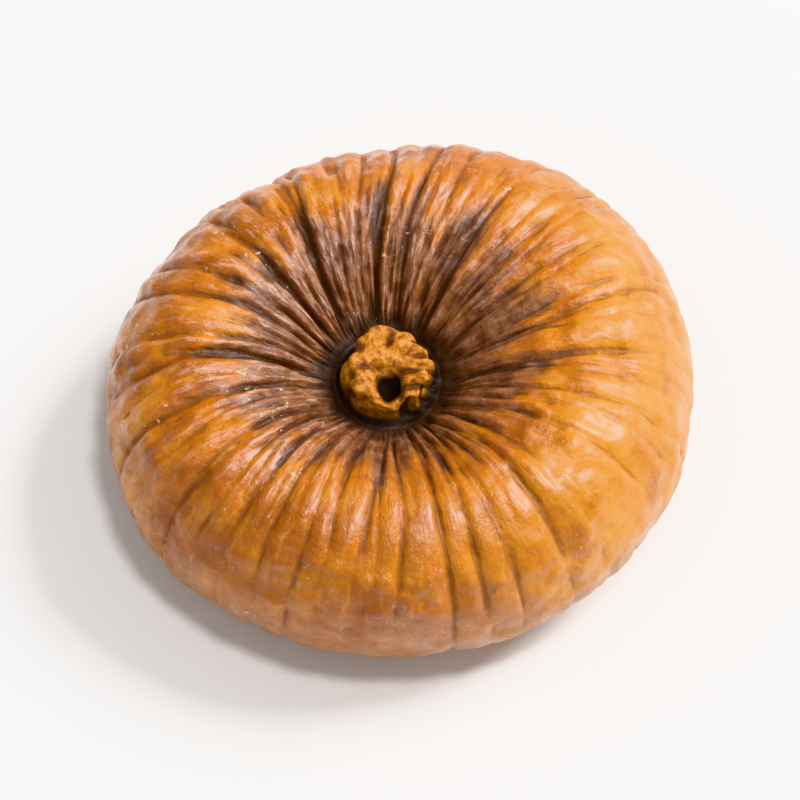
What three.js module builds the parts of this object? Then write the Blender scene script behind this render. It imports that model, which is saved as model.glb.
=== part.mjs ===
// A dried fig, pressed squat along its stem axis, as one closed solid.
//
// Millimetres, +Z up. The fig lies on its flattened eye end with its stem stub on top, and the
// origin is at the middle of its base. The whole fruit is one turned outline, drawn from the
// closed eye, out along the flat base, round the girth, over the shoulder, down into the pit and
// up the stem stub to the hollow in its cut end. The turned skin is then pressed out of round, and
// creases are pressed into it: they start in the pit, cross the shoulder and die out on the flank.

import * as THREE from "three";

// Driving dimensions
const GIRTH_R = 23.1; // mean radius of the widest ring
const HEIGHT = 19.5; // base to the crest of the shoulder
const GIRTH_Z = 9.7; // height of the widest ring
const CREST_R = 15; // ring where the shoulder is highest
const BASE_R = 13; // flat that the fruit was pressed on
const FULLNESS = 0.54; // 0.55 makes the girth round, and more makes it squarer

const PIT_R = 4.4; // bottom of the pit, all round the stem stub
const PIT_Z = 13.2;
const PIT_WALL_LEAN = 1.2; // how far the foot of the pit's wall leans outwards
const PIT_WALL_RISE = 2.2; // how steeply it rises there
const PIT_SHOULDER_R = 9.5; // where the pit's wall levels out

const STEM_R = 3.6;
const STEM_FOOT = 0.85; // radius of the stub's foot, as a share of STEM_R
const STEM_Z = 16.5; // cut end of the stem stub
const STEM_EDGE = 0.8; // worn edge round that end
const STEM_HOLLOW_R = 1.5;
const STEM_HOLLOW = 2; // depth of the hollow in that end
const STEM_SHIFT = 1.2; // the stub and the pit stand this far to one side of the girth's middle

const EYE_R = 3.2; // lip of the closed eye in the middle of the base
const EYE_DEPTH = 1.2;

const OVAL = 0.044; // how far the girth is out of round, as a share of its radius
const OVAL_TURN = 0.3; // where it is widest, in radians from +X
const LOBE = 0.009; // a third of a turn apart, three slight bulges
const LOBE_TURN = 0.9;

const CREASES = 38;
const STEPS_PER_CREASE = 4; // one step lies in the crease, and one on the back of the fold
const CREASE_DEPTH = 0.6;
const CREASE_SHARPNESS = 6;
const CREASE_WANDER = 0.6; // how far a crease strays from even spacing, in spacings
const CREASE_BEND = 0.11; // how far a crease bends round the fruit on its way out, in radians
const CREASE_BEND_TURN = 1; // where round the fruit the creases bend most, in radians
const CREASE_FADE = 3; // width of the ring by the stub where the creases grow to full depth
const FOLD_HEIGHT = 0.25; // how far one fold's back stands above the next

const FULL_TURN = 2 * Math.PI;
const STEPS = CREASES * STEPS_PER_CREASE;

// A number from 0 to 1 that looks random but is always the same for the same n.
function scatter(n) {
  const s = Math.sin(n * 12.9898) * 43758.5453;
  return s - Math.floor(s);
}

function smoothstep(low, high, x) {
  const t = THREE.MathUtils.clamp((x - low) / (high - low), 0, 1);
  return t * t * (3 - 2 * t);
}

// A stretch of outline from a to d that leaves a towards b and reaches d from c.
function stretch(a, b, c, d, steps) {
  const [from, leave, reach, to] = [a, b, c, d].map(([r, z]) => new THREE.Vector2(r, z));
  return new THREE.CubicBezierCurve(from, leave, reach, to).getSpacedPoints(steps);
}

// The outline of the whole fruit, from the axis at the eye to the axis at the stem end.
function outline() {
  const below = GIRTH_Z * (1 - FULLNESS);
  const above = GIRTH_Z + FULLNESS * (HEIGHT - GIRTH_Z);
  const underEdge = BASE_R + FULLNESS * (GIRTH_R - BASE_R);
  const overEdge = CREST_R + FULLNESS * (GIRTH_R - CREST_R);
  const wallFoot = [PIT_R + PIT_WALL_LEAN, PIT_Z + PIT_WALL_RISE];
  const stemFoot = [STEM_R * STEM_FOOT, PIT_Z];
  const stemWaist = [STEM_R, PIT_Z + STEM_EDGE];
  const stemEdge = [STEM_R, STEM_Z - STEM_EDGE];
  const hollowEdge = [STEM_HOLLOW_R, STEM_Z];
  const hollowWall = [STEM_HOLLOW_R, STEM_Z - STEM_HOLLOW];

  const stretches = [
    stretch([0, EYE_DEPTH], [EYE_R / 2, EYE_DEPTH], [EYE_R / 2, 0], [EYE_R, 0], 3),
    stretch([BASE_R, 0], [underEdge, 0], [GIRTH_R, below], [GIRTH_R, GIRTH_Z], 8),
    stretch([GIRTH_R, GIRTH_Z], [GIRTH_R, above], [overEdge, HEIGHT], [CREST_R, HEIGHT], 8),
    stretch([CREST_R, HEIGHT], [PIT_SHOULDER_R, HEIGHT], wallFoot, [PIT_R, PIT_Z], 7),
    stretch([PIT_R, PIT_Z], stemFoot, stemWaist, stemEdge, 3),
    stretch(stemEdge, [STEM_R, STEM_Z], [STEM_R, STEM_Z], hollowEdge, 3),
    stretch(hollowEdge, hollowWall, hollowWall, [0, STEM_Z - STEM_HOLLOW], 3),
  ];
  // Two stretches that meet share a point, which is kept once.
  const points = stretches.flat();
  return points.filter((point, i) => i === 0 || point.distanceTo(points[i - 1]) > 1e-6);
}

// The angle of a crease. The creases are unevenly spaced, but stay in order.
function creaseAngle(crease) {
  return ((crease + CREASE_WANDER * (scatter(crease % CREASES) - 0.5)) / CREASES) * FULL_TURN;
}

// The turned skin, pressed out of round, with its creases.
function creasedFruit() {
  const fruit = new THREE.LatheGeometry(outline(), STEPS);
  fruit.rotateX(Math.PI / 2);
  const place = fruit.getAttribute("position");
  for (let i = 0; i < place.count; i += 1) {
    const x = place.getX(i);
    const y = place.getY(i);
    const z = place.getZ(i);
    const radius = Math.hypot(x, y);
    const turn = Math.round((Math.atan2(y, x) / FULL_TURN) * STEPS + STEPS) % STEPS;
    const fold = Math.floor(turn / STEPS_PER_CREASE);
    const acrossFold = turn / STEPS_PER_CREASE - fold;
    const nearest = Math.round(turn / STEPS_PER_CREASE);
    const offCrease = Math.abs(turn / STEPS_PER_CREASE - nearest);

    // Creases are deepest in the pit, and there are none on the stem stub or on the base.
    const onFlesh = smoothstep(PIT_R, PIT_R + CREASE_FADE, radius) * smoothstep(0, GIRTH_Z, z);
    const depth = CREASE_DEPTH * (0.5 + scatter(nearest % CREASES));
    const sunk = depth * Math.exp(-offCrease * CREASE_SHARPNESS);
    const raised = FOLD_HEIGHT * scatter(fold + CREASES) * Math.sin(acrossFold * Math.PI);
    const pressed = onFlesh * (sunk - raised);

    // A crease sinks inwards on the flank and downwards on the shoulder and in the pit.
    const flank = smoothstep(CREST_R, GIRTH_R, radius);
    const angle = THREE.MathUtils.lerp(creaseAngle(fold), creaseAngle(fold + 1), acrossFold);
    const wayOut = smoothstep(PIT_R, GIRTH_R, radius);
    const bent = angle + CREASE_BEND * Math.sin(2 * angle + CREASE_BEND_TURN) * wayOut;
    const oval = OVAL * Math.cos(2 * (bent - OVAL_TURN)) + LOBE * Math.cos(3 * (bent - LOBE_TURN));
    const outOfRound = 1 + oval * smoothstep(STEM_R, CREST_R, radius);
    const newRadius = (radius - pressed * flank) * outOfRound;
    const newHeight = z - pressed * (1 - flank);

    const inMiddle = 1 - smoothstep(STEM_R, GIRTH_R, radius);
    const shift = STEM_SHIFT * inMiddle * smoothstep(GIRTH_Z, PIT_Z, z);
    place.setXYZ(i, newRadius * Math.cos(bent) - shift, newRadius * Math.sin(bent), newHeight);
  }
  return fruit;
}

// Moves the solid so that the origin is at the middle of its base.
function standOnOrigin(geometry) {
  geometry.computeBoundingBox();
  const middle = geometry.boundingBox.getCenter(new THREE.Vector3());
  geometry.translate(-middle.x, -middle.y, -geometry.boundingBox.min.z);
  return geometry;
}

const skin = new THREE.MeshStandardMaterial({ color: 0xc47a2c, roughness: 0.45, metalness: 0 });
const fig = new THREE.Mesh(standOnOrigin(creasedFruit()), skin);
fig.name = "dried_fig";

const part = new THREE.Group();
part.name = "dried_fig_part";
part.add(fig);

export default part;
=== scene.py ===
"""A dried fig, pressed squat along its stem axis.

Its waxy skin is amber, and creased from the purple-brown pit out to the flanks. A cut stem stub stands in
the pit, and the fruit lies on its flat eye end.
"""

import math
from functools import partial

import bmesh
import bpy
import numpy as np
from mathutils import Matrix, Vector


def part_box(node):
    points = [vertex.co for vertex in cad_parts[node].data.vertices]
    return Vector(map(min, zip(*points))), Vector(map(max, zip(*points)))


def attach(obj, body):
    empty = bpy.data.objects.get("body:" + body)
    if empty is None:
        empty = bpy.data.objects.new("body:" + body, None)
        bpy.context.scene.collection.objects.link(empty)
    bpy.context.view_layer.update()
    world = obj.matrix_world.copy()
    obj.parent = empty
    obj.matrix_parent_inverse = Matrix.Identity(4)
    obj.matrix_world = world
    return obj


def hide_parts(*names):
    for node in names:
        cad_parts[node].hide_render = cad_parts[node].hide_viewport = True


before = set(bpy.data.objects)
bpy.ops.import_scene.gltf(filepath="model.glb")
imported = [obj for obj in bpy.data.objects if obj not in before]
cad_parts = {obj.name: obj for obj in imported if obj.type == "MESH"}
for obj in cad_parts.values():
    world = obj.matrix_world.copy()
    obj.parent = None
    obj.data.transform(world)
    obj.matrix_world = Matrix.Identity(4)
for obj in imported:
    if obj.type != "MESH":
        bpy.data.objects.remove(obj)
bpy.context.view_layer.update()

# ------------------------------------------------------------------ sizes, in millimetres
MM = 0.001
FULL_TURN = 2 * math.pi
LOW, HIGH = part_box("dried_fig")
HEIGHT = (HIGH.z - LOW.z) / MM
GIRTH_R = (HIGH.x - LOW.x) / MM * 0.48  # mean radius of the widest ring
GIRTH_Z = HEIGHT * 0.497
CREST_R = GIRTH_R * 0.65  # ring where the shoulder is highest
BASE_R = GIRTH_R * 0.563  # flat that the fruit was pressed on
FULLNESS = 0.54  # 0.55 makes the girth round, and more makes it squarer

PIT_R = GIRTH_R * 0.19  # bottom of the pit, all round the stub
PIT_Z = HEIGHT * 0.677
PIT_SHOULDER_R = CREST_R * 0.633  # where the pit's wall levels out
PIT_WALL_LEAN = 1.2
PIT_WALL_RISE = 2.2

STUB_R = GIRTH_R * 0.148
STUB_FOOT_R = STUB_R * 0.85
STUB_Z = HEIGHT * 0.85
STUB_EDGE = 0.8
STUB_SHIFT = 1.2  # the stub and the pit stand this far to the left of the middle
HOLLOW_PLACE = (0.05, -1.7)  # from the middle of the stub's end
HOLLOW_SIZE = (1.15, 1.5)
HOLLOW_DEPTH = 2.0
BUD_SCAR_PLACE = (-0.5, 2.1)
BUD_SCAR_SIZE = (0.55, 0.42)
BUD_SCAR_DEPTH = 0.55

EYE_R = 3.2
EYE_DEPTH = 1.2
EYE_FOLDS = 5
EYE_FOLD_DEPTH = 0.25
EYE_FOLD_TWIST = 0.6  # radians for each millimetre outwards

OVAL, OVAL_TURN = 0.044, 0.3  # out of round, as a share of the radius
LOBE, LOBE_TURN = 0.009, 0.9

# Swells of the skin that are drawn out along the creases: how many go round, how long and how high.
FOLDS = (56, 12, 0.2)
FINE_FOLDS = (96, 6, 0.09)
BEADS = (80, 1.6, 0.16)
FINE_BEADS = (130, 0.9, 0.08)
HAIRLINES = (170, 1.1, 0.05)
BASE_FOLDS = (60, 5, 0.07)
STUB_FLUTES = (17, 2.4, 0.26)
# Lumps and dents: how wide and how high.
BROAD_DENTS = (9, 0.32)
SMALL_DENTS = (4, 0.13)
BEADED_PATCH = 7
CRUMPLES = (3.1, 0.15)
FINE_CRUMPLES = (1.4, 0.09)
STUB_KNOBS = (1.8, 0.38)
STUB_PITS = (1.0, 0.28)
HOLLOW_RAGS = (0.8, 0.75)
STUB_RIPPLE, STUB_RIPPLE_HEIGHT = 1.35, 0.2

CREASES = 38  # the long ones, which the solid has as well
CREASE_DEPTH = 0.56
CREASE_WANDER = 0.6  # how far a crease strays from even spacing, in spacings
CREASE_BEND = 0.11  # how far a crease bends round the fruit on its way out, in radians
SMOOTH_LIT_TURN = -0.25  # the side that dried smoothest; its colour is painted lighter, partly its own paler gold and partly painted light; in radians from +X
BLOOM_TURN = 2.6  # the side with the most sugar bloom
SHADED_FRONT_TURN = -1.7  # the front, away from the key light, painted darker amber as painted shade
DARK_MIDDLE = (-1.3, 1.8)  # middle of the purple-brown zone, from the middle of the stub
DARK_FULL_R, DARK_END_R = 5, 21.5  # where the zone is darkest, and where it has faded out

STEPS = 480  # round the fruit
RINGS = {"eye": 8, "base": 12, "under": 38, "over": 54, "wall": 58, "stub": 14, "end": 24}

STREAK_STRETCH = 4.2  # a streak's length in widths


# ------------------------------------------------------------------ helpers
def smoothstep(low, high, x):
    t = np.clip((x - low) / (high - low), 0.0, 1.0)
    return t * t * (3.0 - 2.0 * t)


def scatter(n):
    """A number from 0 to 1 that looks random, the same each time for the same n."""
    s = np.sin(np.asarray(n, float) * 12.9898) * 43758.5453
    return s - np.floor(s)


def between(limits, chance):
    return limits[0] + (limits[1] - limits[0]) * chance


def corner_value(cells, seed):
    """A value from -1 to 1 for each whole-numbered cell corner."""
    n = np.sin(sum(c * k for c, k in zip(cells, (127.1, 311.7, 74.7))) + seed * 53.3) * 43758.5453
    return 2 * (n - np.floor(n)) - 1


def blended(spots, seed, period=None):
    """Smooth noise from -1 to 1 at spots, one array per axis; the first axis may repeat."""
    whole = [np.floor(s) for s in spots]
    part = [s - w for s, w in zip(spots, whole)]
    part = [p * p * (3 - 2 * p) for p in part]
    total = 0
    for corner in range(2 ** len(spots)):
        step = [(corner >> axis) & 1 for axis in range(len(spots))]
        cells = [w + d for w, d in zip(whole, step)]
        if period:
            cells[0] = cells[0] % period
        weight = 1
        for p, d in zip(part, step):
            weight = weight * (p if d else 1 - p)
        total = total + weight * corner_value(cells, seed)
    return total


# ------------------------------------------------------------------ the turned skin
def stretch(a, b, c, d, count):
    """Evenly spaced points on the curve from a to d that leaves a towards b and reaches d from c."""
    t = np.linspace(0, 1, 200)[:, None]
    a, b, c, d = (np.array(p, float) for p in (a, b, c, d))
    curve = (1 - t) ** 3 * a + 3 * (1 - t) ** 2 * t * b + 3 * (1 - t) * t * t * c + t**3 * d
    length = np.concatenate(([0], np.cumsum(np.linalg.norm(np.diff(curve, axis=0), axis=1))))
    wanted = np.linspace(0, length[-1], count + 1)[1:]
    return np.column_stack([np.interp(wanted, length, curve[:, axis]) for axis in (0, 1)])


def skin_outline():
    """(radius, height) from the middle of the eye to the middle of the stub's cut end."""
    below = GIRTH_Z * (1 - FULLNESS)
    above = GIRTH_Z + FULLNESS * (HEIGHT - GIRTH_Z)
    under_edge = BASE_R + FULLNESS * (GIRTH_R - BASE_R)
    over_edge = CREST_R + FULLNESS * (GIRTH_R - CREST_R)
    girth, crest, pit = (GIRTH_R, GIRTH_Z), (CREST_R, HEIGHT), (PIT_R, PIT_Z)
    wall_foot = (PIT_R + PIT_WALL_LEAN, PIT_Z + PIT_WALL_RISE)
    edge = (STUB_R, STUB_Z - STUB_EDGE)
    flat = np.linspace(EYE_R, BASE_R, RINGS["base"] + 1)[1:]
    return np.vstack(
        (
            [(0, EYE_DEPTH)],
            stretch((0, EYE_DEPTH), (EYE_R / 2, EYE_DEPTH), (EYE_R / 2, 0), (EYE_R, 0), RINGS["eye"]),
            np.column_stack((flat, flat * 0)),
            stretch((BASE_R, 0), (under_edge, 0), (GIRTH_R, below), girth, RINGS["under"]),
            stretch(girth, (GIRTH_R, above), (over_edge, HEIGHT), crest, RINGS["over"]),
            stretch(crest, (PIT_SHOULDER_R, HEIGHT), wall_foot, pit, RINGS["wall"]),
            stretch(pit, (STUB_FOOT_R, PIT_Z), (STUB_R, PIT_Z + STUB_EDGE), edge, RINGS["stub"]),
            stretch(edge, (STUB_R, STUB_Z), (STUB_R * 0.7, STUB_Z), (0, STUB_Z), RINGS["end"]),
        )
    )


def turned(outline):
    """The outline spun round the axis; a layer says which ring of the outline each vertex is in."""
    bm = bmesh.new()
    ring = bm.verts.layers.float.new("ring")
    line = []
    for i, (radius, height) in enumerate(outline):
        vertex = bm.verts.new((radius * MM, 0, height * MM))
        vertex[ring] = i
        line.append(vertex)
    edges = [bm.edges.new(pair) for pair in zip(line, line[1:])]
    bmesh.ops.spin(
        bm, geom=line + edges, cent=(0, 0, 0), axis=(0, 0, 1), angle=FULL_TURN, steps=STEPS, use_merge=True
    )
    bmesh.ops.remove_doubles(bm, verts=bm.verts, dist=0.001 * MM)
    bmesh.ops.recalc_face_normals(bm, faces=bm.faces)
    return bm


outline = skin_outline()
bm = turned(outline)
skin_mesh = bpy.data.meshes.new("fig_skin")
bm.to_mesh(skin_mesh)
bm.free()
skin_mesh.shade_smooth()

# ------------------------------------------------------------------ the surface, ring by ring and step by step
ends = dict(zip(RINGS, np.cumsum(list(RINGS.values()))))
travel = np.concatenate(([0], np.cumsum(np.linalg.norm(np.diff(outline, axis=0), axis=1))))
S_EYE, S_BASE, S_GIRTH, S_CREST, S_PIT, S_STUB, _ = travel[[ends[name] for name in RINGS]]

# One row for each ring and one column for each step: way along the outline, radius, height and angle.
S = travel[:, None]
R = outline[:, :1]
Z = outline[:, 1:]
A = (np.arange(STEPS) / STEPS * FULL_TURN)[None, :]
X, Y = R * np.cos(A), R * np.sin(A)
direction = np.gradient(outline, axis=0)
direction /= np.linalg.norm(direction, axis=1)[:, None]
OUT_R, OUT_Z = direction[:, 1:], -direction[:, :1]

on_stub = smoothstep(S_PIT - 0.1, S_PIT + 0.6, S)
on_wall = smoothstep(S_CREST - 1, S_CREST + 4, S) * (1 - on_stub)
on_base = 1 - smoothstep(S_BASE - 0.5, S_BASE + 3, S)
on_flesh = (1 - smoothstep(S_PIT - 0.9, S_PIT, S)) * smoothstep(S_BASE - 1, S_GIRTH, S)
on_shoulder = smoothstep(S_GIRTH - 2, S_GIRTH + 5, S) * (1 - smoothstep(S_CREST, S_CREST + 5, S))
pulled_tight = smoothstep(S_CREST - 1, S_GIRTH + 2, S)  # the girth, where the skin is stretched
# 1 on the smooth right side, which the skin material paints lighter, partly as painted light from the key.
sunny = 0.5 + 0.5 * np.cos(A - SMOOTH_LIT_TURN)


def swells(around, run, height, seed):
    """Noise drawn out along the creases: so many cells round the fruit, each so many mm long."""
    return height * blended([A / FULL_TURN * around + 0 * S, S / run + 0 * A], seed, period=around)


def lumps(size, height, seed):
    return height * blended([X / size, Y / size, Z / size + 0 * A], seed)


def crease_line(angle, seed, stray):
    """The angle of a crease at each ring: it bends a little and strays so many mm from side to side."""
    bend = CREASE_BEND * np.sin(2 * angle + 1) * smoothstep(PIT_R, GIRTH_R, R)
    swing = np.sin(S / (2.5 + 2 * scatter(seed)) + 9 * scatter(seed + 0.5))
    return angle + bend + stray * swing / np.maximum(R, 2.0)


def pressed_crease(angle, seed, depth, width, start, stop, fade, stray):
    """How far one crease sinks the skin, between the distances start and stop along the outline."""
    off = (A - crease_line(angle, seed, stray) + math.pi) % FULL_TURN - math.pi
    runs = smoothstep(start, start + fade, S) * (1 - smoothstep(stop - fade, stop, S))
    runs = runs * (0.8 + 0.2 * np.sin(S / (0.7 + 0.5 * scatter(seed + 0.3)) + 40 * scatter(seed + 0.7)))
    return depth * runs * np.exp(-np.abs(off) * np.maximum(R, 1.0) / width)


def calmed(angle, share):
    """The creases are shallower on the smooth side, by up to this share."""
    return 1 - share * (0.5 + 0.5 * math.cos(angle - SMOOTH_LIT_TURN))


def scattered_creases(count, seed, depths, width, starts, lengths, fade, stray):
    """Creases at scattered angles. Those without a length run into the pit."""
    sunk = 0
    for i in range(count):
        chance = scatter(seed + i + 100 * np.arange(4))
        angle = chance[0] * FULL_TURN
        start = between(starts, chance[1])
        stop = start + between(lengths, chance[3]) if lengths else S_PIT + 1
        depth = between(depths, chance[2]) * calmed(angle, 0.35)
        sunk = sunk + pressed_crease(angle, seed / 4 + i, depth, width, start, stop, fade, stray)
    return sunk


def all_creases():
    spacing = FULL_TURN * R / CREASES
    sunk = np.zeros(np.broadcast_shapes(S.shape, A.shape))
    for i in range(CREASES):
        angle = (i + CREASE_WANDER * (scatter(i) - 0.5)) / CREASES * FULL_TURN
        depth = CREASE_DEPTH * (0.5 + scatter(i)) * calmed(angle, 0.25)
        sunk += pressed_crease(angle, i, depth, 0.12 * spacing + 0.04, S_BASE - 2, S_PIT + 1, 5, 0.16)
    # Shorter ones between them, out of the pit and over the shoulder.
    starts = (S_GIRTH - 4, S_GIRTH + 10)
    sunk += scattered_creases(88, 200, (0.2, 0.5), 0.08 * spacing + 0.05, starts, None, 4, 0.25)
    # Short ones on the flank, which never reach the pit.
    starts = (S_BASE - 1, S_BASE + 7)
    sunk += scattered_creases(110, 500, (0.2, 0.5), 0.2, starts, (9, 20), 3, 0.4)
    # Fine puckers round the pit.
    starts = (S_CREST - 3, S_CREST + 5)
    sunk += scattered_creases(130, 900, (0.08, 0.24), 0.14, starts, None, 3, 0.12)
    return sunk * (1 - 0.4 * pulled_tight)


def smoothed_round(height, width):
    """The height averaged round each ring over so many mm."""
    steps = width / np.maximum(R * FULL_TURN / STEPS, 1e-3)
    waves = np.fft.rfftfreq(STEPS)[None, :]
    keep = np.exp(-2 * (math.pi * steps * waves) ** 2)
    return np.fft.irfft(np.fft.rfft(height, axis=1) * keep, STEPS, axis=1)


def spot(place, size):
    """0 in the middle of an oval spot and 1 at its edge, seen along the axis."""
    return ((X - place[0]) / size[0]) ** 2 + ((Y - place[1]) / size[1]) ** 2


# The last number in each call is a seed, which picks the pattern and nothing else.
relief = on_flesh * (swells(*FOLDS, 1) + swells(*FINE_FOLDS, 2)) * (1 - 0.4 * pulled_tight)
relief -= on_flesh * all_creases()
beaded = smoothstep(-0.5, 0.4, lumps(BEADED_PATCH, 1, 11)) * (on_shoulder + 0.7 * on_wall + 0.15)
relief += on_flesh * beaded * (swells(*BEADS, 3) + swells(*FINE_BEADS, 15))
relief += on_flesh * swells(*HAIRLINES, 4) * (1 - 0.5 * sunny)
relief += on_flesh * (lumps(*BROAD_DENTS, 5) + lumps(*SMALL_DENTS, 6))
crumpled = (1 - smoothstep(S_PIT - 1.5, S_PIT, S)) * smoothstep(S_BASE - 1, S_BASE + 5, S)
relief -= crumpled * (np.abs(lumps(*CRUMPLES, 12)) + np.abs(lumps(*FINE_CRUMPLES, 13)))
relief += on_base * smoothstep(0, 2, S) * (swells(*BASE_FOLDS, 7) - BASE_FOLDS[2])
round_eye = smoothstep(0.4, 2, S) * smoothstep(S_EYE + 3, S_EYE, S)
relief -= round_eye * EYE_FOLD_DEPTH * np.abs(np.sin(EYE_FOLDS / 2 * A + EYE_FOLD_TWIST * S))

# The stub is knobbly and rippled, and the hollow in its cut end opens towards the near side.
off_middle = smoothstep(0.4, 2.2, R)
relief += on_stub * (lumps(*STUB_KNOBS, 8) - np.abs(lumps(*STUB_PITS, 9)))
relief += on_stub * off_middle * swells(*STUB_FLUTES, 10)
ripple = np.sin(Y * FULL_TURN / STUB_RIPPLE + 1) * smoothstep(0.7, 2.0, X)
relief += on_stub * STUB_RIPPLE_HEIGHT * ripple
ragged = 1 + lumps(*HOLLOW_RAGS, 14)
hollow = np.exp(-(spot(HOLLOW_PLACE, HOLLOW_SIZE) ** 1.4) * ragged) * smoothstep(S_STUB - 2.2, S_STUB, S)
bud_scar = np.exp(-spot(BUD_SCAR_PLACE, BUD_SCAR_SIZE)) * smoothstep(S_STUB, S_STUB + 1, S)

cavity = np.clip((smoothed_round(relief, 1.0) - relief) / 0.22, -1, 1)
sunk_end = HOLLOW_DEPTH * hollow + BUD_SCAR_DEPTH * bud_scar

skin_r = R + relief * OUT_R
skin_z = Z + relief * OUT_Z - sunk_end
oval = OVAL * np.cos(2 * (A - OVAL_TURN)) + LOBE * np.cos(3 * (A - LOBE_TURN))
skin_r = skin_r * (1 + oval * smoothstep(STUB_R, CREST_R, R))
shift = STUB_SHIFT * (1 - smoothstep(STUB_R, GIRTH_R, R)) * smoothstep(GIRTH_Z, PIT_Z, Z)
grid = np.stack((skin_r * np.cos(A) - shift, skin_r * np.sin(A), skin_z), axis=-1)

# Each vertex of the turned mesh belongs to one ring and one step.
count = len(skin_mesh.vertices)
turned_co = np.empty(count * 3, np.float32)
skin_mesh.vertices.foreach_get("co", turned_co)
turned_co = turned_co.reshape(-1, 3)
ring_of = np.empty(count, np.float32)
skin_mesh.attributes["ring"].data.foreach_get("value", ring_of)
ring_of = np.rint(ring_of).astype(int)
step_of = np.rint(np.arctan2(turned_co[:, 1], turned_co[:, 0]) / FULL_TURN * STEPS).astype(int) % STEPS

# The skin fills the same box as the solid.
place = grid[ring_of, step_of]
low, high = place.min(axis=0), place.max(axis=0)
box_low, box_high = np.array(LOW), np.array(HIGH)
place = box_low + (place - low) / (high - low) * (box_high - box_low)
skin_mesh.vertices.foreach_set("co", place.astype(np.float32).ravel())
skin_mesh.update()


def keep_values(name, *values):
    """Stores one number or three for each vertex, for the materials to read."""
    kept = [np.broadcast_to(value, grid.shape[:2])[ring_of, step_of] for value in values]
    kind, field = ("FLOAT", "value") if len(values) == 1 else ("FLOAT_VECTOR", "vector")
    layer = skin_mesh.attributes.new(name, kind, "POINT")
    layer.data.foreach_set(field, np.stack(kept, axis=-1).astype(np.float32).ravel())


# Millimetres round the crest and along the outline, so that a pattern on them follows the creases.
keep_values("streaks", CREST_R * np.cos(A), CREST_R * np.sin(A), S / STREAK_STRETCH)
keep_values("cavity", cavity)
from_dark_middle = np.hypot(X - DARK_MIDDLE[0], Y - DARK_MIDDLE[1])
keep_values("pit", 1 - smoothstep(DARK_FULL_R, DARK_END_R, from_dark_middle))
# The ring of the pit round the stub's foot, which the skin material paints near black as painted shade.
keep_values("moat", smoothstep(S_PIT - 3.2, S_PIT - 0.6, S + swells(26, 4, 0.8, 16)))
keep_values("upper", smoothstep(S_GIRTH - 2, S_GIRTH + 2, S))
# Where the skin material paints the smooth side lighter, partly as painted light.
keep_values("sunny", smoothstep(0.5, 1, sunny))
# Where the skin material paints shade on the front.
keep_values("deep", smoothstep(0.1, 1, np.cos(A - SHADED_FRONT_TURN)))
keep_values("bloom", smoothstep(-0.7, 0.4, np.cos(A - BLOOM_TURN)))
# The stub's foot and the hollow in its end, which the stub material paints near black as painted shade.
keep_values("foot", 1 - smoothstep(S_PIT + 0.6, S_PIT + 1.8, S))
keep_values("hollow", hollow)

fig = bpy.data.objects.new("fig_skin", skin_mesh)
bpy.context.scene.collection.objects.link(fig)
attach(fig, "root")
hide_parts("dried_fig")

# ------------------------------------------------------------------ materials
SMOOTH = {"interpolation_type": "SMOOTHSTEP"}
COLOURS = {"data_type": "RGBA"}
TIMES = {"operation": "MULTIPLY"}
PLUS = {"operation": "ADD"}
TIMES_PLUS = {"operation": "MULTIPLY_ADD"}


def linear(code):
    """An sRGB hex colour as the linear one that shaders take."""
    parts = [int(code[i : i + 2], 16) / 255 for i in (1, 3, 5)]
    return tuple(c / 12.92 if c <= 0.04045 else ((c + 0.055) / 1.055) ** 2.4 for c in parts) + (1.0,)


def node(tree, kind, settings=None, *inputs, out=0, **named_inputs):
    """Adds a node with its settings and links, and gives the output that the next node reads.

    An input is a value or another node's output. The unnamed ones fill the sockets that the node shows, in
    order. The output is named, or is the first one that the node shows.
    """
    made = tree.nodes.new("ShaderNode" + kind)
    for name, value in (settings or {}).items():
        setattr(made, name, value)
    shown = [socket for socket in made.inputs if socket.enabled]
    sockets = list(zip(shown, inputs))
    sockets += [(made.inputs[name.replace("_", " ")], value) for name, value in named_inputs.items()]
    for socket, value in sockets:
        if isinstance(value, bpy.types.NodeSocket):
            tree.links.new(value, socket)
        else:
            socket.default_value = value
    if out:
        return made.outputs[out]
    return next((socket for socket in made.outputs if socket.enabled), None)


def new_material(name):
    """An empty material, and the function that adds nodes to it."""
    material = bpy.data.materials.new(name)
    material.use_nodes = True
    material.node_tree.nodes.clear()
    return material, partial(node, material.node_tree)


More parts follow.
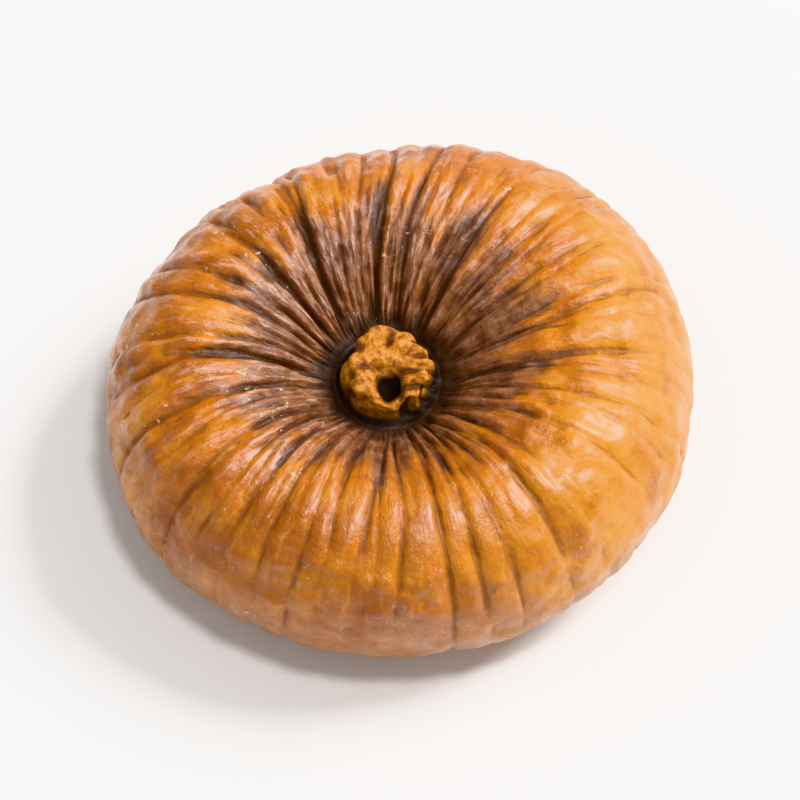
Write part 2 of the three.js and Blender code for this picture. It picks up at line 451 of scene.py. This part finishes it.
def skin_material():
    # Fig skin is a thin waxy film dried over sugary flesh. The eye sees a warm glow through it, soft gloss in
    # patches, fine streaks along the creases, and pinkish grey sugar bloom where it is folded tightest.
    material, add = new_material("fig skin, sun-dried and waxy")
    place = add("TexCoord", out="Object")
    streaks = add("Attribute", {"attribute_name": "streaks"}, out="Vector")
    cavity, pit, moat, upper, sunny, deep, bloom = (
        add("Attribute", {"attribute_name": name}, out="Fac")
        for name in ("cavity", "pit", "moat", "upper", "sunny", "deep", "bloom")
    )
    # Millimetres across one blotch, then how much finer detail it holds, and how strong that is.
    blotches = {
        "amber": (5.0, 5, 0.65),
        "patch": (3.2, 2, 0.5),
        "mottle": (1.1, 4, 0.6),
        "purple": (1.6, 3, 0.55),
        "fleck": (0.55, 2, 0.5),
        "dusting": (6.0, 2, 0.55),
        "wax": (1.8, 3, 0.55),
        "glaze": (4.0, 2, 0.55),
        "grain": (0.9, 5, 0.65),
    }
    noise = {
        name: add("TexNoise", Vector=place, Scale=1 / (size * MM), Detail=detail, Roughness=rough)
        for name, (size, detail, rough) in blotches.items()
    }
    # The same for the streaks, across them. Real fibres are about 0.1 mm wide, too fine to show, so the two
    # finest patterns are drawn about three times as coarse.
    for name, (size, detail, rough) in {
        "streak": (0.7, 5, 0.6),
        "wide streak": (1.9, 3, 0.5),
        "film": (0.34, 3, 0.6),
        "fibre": (0.26, 3, 0.6),
    }.items():
        noise[name] = add("TexNoise", Vector=streaks, Scale=1 / size, Detail=detail, Roughness=rough)

    crease = add("MapRange", SMOOTH, cavity, 0.3, 1.0)
    ridge = add("MapRange", SMOOTH, cavity, -0.05, -0.6)
    out_of_pit = add("MapRange", SMOOTH, pit, 0.4, 0.05, 0.0, 0.5)

    # Amber flesh shows through the skin, lighter and darker in patches. The smooth right side is painted
    # lighter, partly its own paler gold and partly painted light; the front is darkened with painted shade;
    # the skin is browner below the girth; and the creases are darkened with painted shade.
    colour = linear("#844407")
    for mask, code in (
        (add("MapRange", None, noise["amber"], 0.33, 0.5), "#ac620d"),
        (add("MapRange", None, noise["amber"], 0.5, 0.68), "#cb8418"),
        # Painted light, in part: the smooth right side, where the key light falls, is lighter gold.
        (add("Math", TIMES, sunny, out_of_pit), "#e29c20"),
        # Painted shade: the front, which faces away from the key light, is darker amber.
        (add("Math", TIMES, deep, 0.5), "#8f4c05"),
        (add("MapRange", SMOOTH, noise["patch"], 0.52, 0.66, 0.0, 0.55), "#8e4b06"),
        (add("MapRange", SMOOTH, noise["mottle"], 0.5, 0.68, 0.0, 0.4), "#87490d"),
        (add("MapRange", SMOOTH, noise["streak"], 0.52, 0.72, 0.0, 0.35), "#d8952c"),
        (add("MapRange", SMOOTH, upper, 1.0, 0.0, 0.0, 0.6), "#8f5a22"),
        # Painted shade: the creases are darkened.
        (add("Math", TIMES, crease, 0.62), "#643208"),
    ):
        colour = add("Mix", COLOURS, mask, colour, linear(code))

    # The skin turns purple-brown towards the pit, along ragged streaks, and painted shade makes it darkest in
    # its creases.
    edge = add("Math", TIMES_PLUS, noise["wide streak"], 0.9, pit)
    edge = add("Math", TIMES_PLUS, noise["streak"], 0.6, edge)
    edge = add("Math", TIMES_PLUS, cavity, 0.14, edge)
    purple = add("MapRange", SMOOTH, edge, 1.13, 1.55, 0.0, 0.92)
    tight = add("MapRange", SMOOTH, noise["purple"], 0.35, 0.65)
    tight = add("Mix", COLOURS, tight, linear("#4b2a1e"), linear("#7a5440"))
    # Painted shade: the creases are darkened nearly to black-brown.
    tight = add("Mix", COLOURS, add("Math", TIMES, crease, 0.9), tight, linear("#382014"))
    tight = add("Mix", COLOURS, add("Math", TIMES, ridge, 0.4), tight, linear("#8a5f48"))
    colour = add("Mix", COLOURS, purple, colour, tight)

    # Sugar bloom: a film on the ridges near the pit, and specks on the shoulder. Painted shade then turns the
    # moat round the stub's foot near black.
    film = add("MapRange", SMOOTH, noise["film"], 0.5, 0.64)
    film = add("Math", TIMES, film, ridge)
    film = add("Math", TIMES, film, add("MapRange", SMOOTH, pit, 0.0, 0.6, 0.14, 0.42))
    film = add("Math", TIMES, film, add("MapRange", None, bloom, 0.0, 1.0, 0.3, 1.0))
    speck = add("MapRange", SMOOTH, noise["fleck"], 0.66, 0.72, 0.0, 0.5)
    speck = add("Math", TIMES, speck, add("MapRange", SMOOTH, noise["dusting"], 0.48, 0.62))
    speck = add("Math", TIMES, speck, add("MapRange", None, bloom, 0.0, 1.0, 0.3, 1.0))
    # The last mask is painted shade: near black in the moat round the stub's foot.
    for mask, code in ((film, "#cbaa94"), (speck, "#ecd8bd"), (add("Math", TIMES, moat, 0.86), "#1e1008")):
        colour = add("Mix", COLOURS, mask, colour, linear(code))

    rough = add("MapRange", SMOOTH, noise["wax"], 0.35, 0.65, 0.26, 0.5)
    rough = add("Math", TIMES_PLUS, film, 0.25, rough)
    rough = add("Math", TIMES_PLUS, moat, 0.3, rough)
    rough = add("Math", TIMES_PLUS, crease, 0.2, rough)
    rough = add("Math", PLUS, rough, add("MapRange", None, upper, 1.0, 0.0, 0.0, 0.15))
    glaze = add("MapRange", SMOOTH, noise["glaze"], 0.4, 0.62, 0.08, 0.34)
    glaze = add("Math", TIMES, glaze, add("MapRange", SMOOTH, pit, 0.35, 0.9, 1.0, 0.0))
    glaze = add("Math", TIMES, glaze, add("MapRange", None, crease, 0.0, 1.0, 1.0, 0.2))

    bump = add("Bump", Height=noise["grain"], Distance=0.26 * MM, Strength=0.75)
    bump = add("Bump", Height=noise["fibre"], Distance=0.12 * MM, Strength=0.6, Normal=bump)
    shader = add(
        "BsdfPrincipled",
        Base_Color=colour,
        Roughness=rough,
        Normal=bump,
        Subsurface_Weight=0.18,
        Subsurface_Radius=(1.0, 0.4, 0.12),
        Subsurface_Scale=1.5 * MM,
        Coat_Weight=glaze,
        Coat_Roughness=0.22,
        Sheen_Weight=0.03,
        Sheen_Tint=linear("#f2cfa8"),
    )
    add("OutputMaterial", Surface=shader)
    return material


def stub_material():
    # The stem stub is woody tissue, cut green and dried hard: dull tan, with painted shade that darkens its
    # crevices and makes it nearly black in its hollow and at its foot.
    material, add = new_material("fig stem stub, cut and dried hard")
    place = add("TexCoord", out="Object")
    cavity, foot, hollow = (
        add("Attribute", {"attribute_name": name}, out="Fac") for name in ("cavity", "foot", "hollow")
    )
    fibre = add("TexNoise", Vector=place, Scale=1 / (0.5 * MM), Detail=4, Roughness=0.6)
    grain = add("TexNoise", Vector=place, Scale=1 / (0.35 * MM), Detail=4, Roughness=0.65)
    colour = linear("#74400f")
    for mask, code in (
        (add("MapRange", None, fibre, 0.35, 0.5), "#ad6c26"),
        (add("MapRange", None, fibre, 0.5, 0.66), "#d0954a"),
        # Painted shade: dark brown in the crevices, and near black at the foot and in the hollow.
        (add("MapRange", SMOOTH, cavity, 0.05, 0.8, 0.0, 0.9), "#47220a"),
        (add("MapRange", SMOOTH, foot, 0.0, 1.0), "#1c0e08"),
        (add("MapRange", SMOOTH, hollow, 0.2, 0.7), "#140904"),
    ):
        colour = add("Mix", COLOURS, mask, colour, linear(code))
    rough = add("MapRange", SMOOTH, fibre, 0.3, 0.7, 0.5, 0.72)
    shader = add(
        "BsdfPrincipled",
        Base_Color=colour,
        Roughness=add("Math", TIMES_PLUS, hollow, 0.25, rough),
        Normal=add("Bump", Height=grain, Distance=0.15 * MM, Strength=0.8),
        Specular_IOR_Level=0.3,
    )
    add("OutputMaterial", Surface=shader)
    return material


skin_mesh.materials.append(skin_material())
skin_mesh.materials.append(stub_material())
first_corner = np.array([polygon.vertices[0] for polygon in skin_mesh.polygons])
in_stub = (ring_of[first_corner] > ends["wall"]).astype(np.int32)
skin_mesh.polygons.foreach_set("material_index", in_stub)

# ------------------------------------------------------------------ studio
FLOOR_SIZE = 2
bpy.ops.mesh.primitive_plane_add(size=FLOOR_SIZE, location=(0, 0, 0))
floor = bpy.context.object
floor.name = "studio_floor"
paper, add_to_paper = new_material("white paper sweep")
add_to_paper(
    "OutputMaterial", Surface=add_to_paper("BsdfPrincipled", Base_Color=linear("#f0efee"), Roughness=0.9)
)
floor.data.materials.append(paper)

world = bpy.data.worlds.new("studio")
bpy.context.scene.world = world
world.use_nodes = True
world.node_tree.nodes["Background"].inputs["Color"].default_value = (1, 1, 1, 1)
world.node_tree.nodes["Background"].inputs["Strength"].default_value = 0.48

aim = Vector((0, 0, HEIGHT * MM * 0.48))


def turn_to_fig(thing, where):
    thing.location = where
    thing.rotation_euler = (aim - Vector(where)).to_track_quat("-Z", "Y").to_euler()
    bpy.context.scene.collection.objects.link(thing)


# Each soft box is a lit disc: where it is, how wide, and its power in watts.
for name, where, size, power in (
    ("key", (0.34, 0.14, 0.46), 0.26, 5.3),
    ("overhead", (0.06, -0.1, 0.6), 0.08, 1.5),
    ("front", (-0.25, -0.42, 0.4), 0.3, 0.3),
):
    light = bpy.data.lights.new(name, "AREA")
    light.shape = "DISK"
    light.size = size
    light.energy = power
    turn_to_fig(bpy.data.objects.new(name, light), where)

VIEW_ELEVATION = math.radians(64)
VIEW_DISTANCE = 0.6
camera = bpy.data.objects.new("camera", bpy.data.cameras.new("camera"))
camera.data.lens = 330
turn_to_fig(camera, aim + VIEW_DISTANCE * Vector((0, -math.cos(VIEW_ELEVATION), math.sin(VIEW_ELEVATION))))
bpy.context.scene.camera = camera
bpy.context.scene.view_settings.view_transform = "Khronos PBR Neutral"
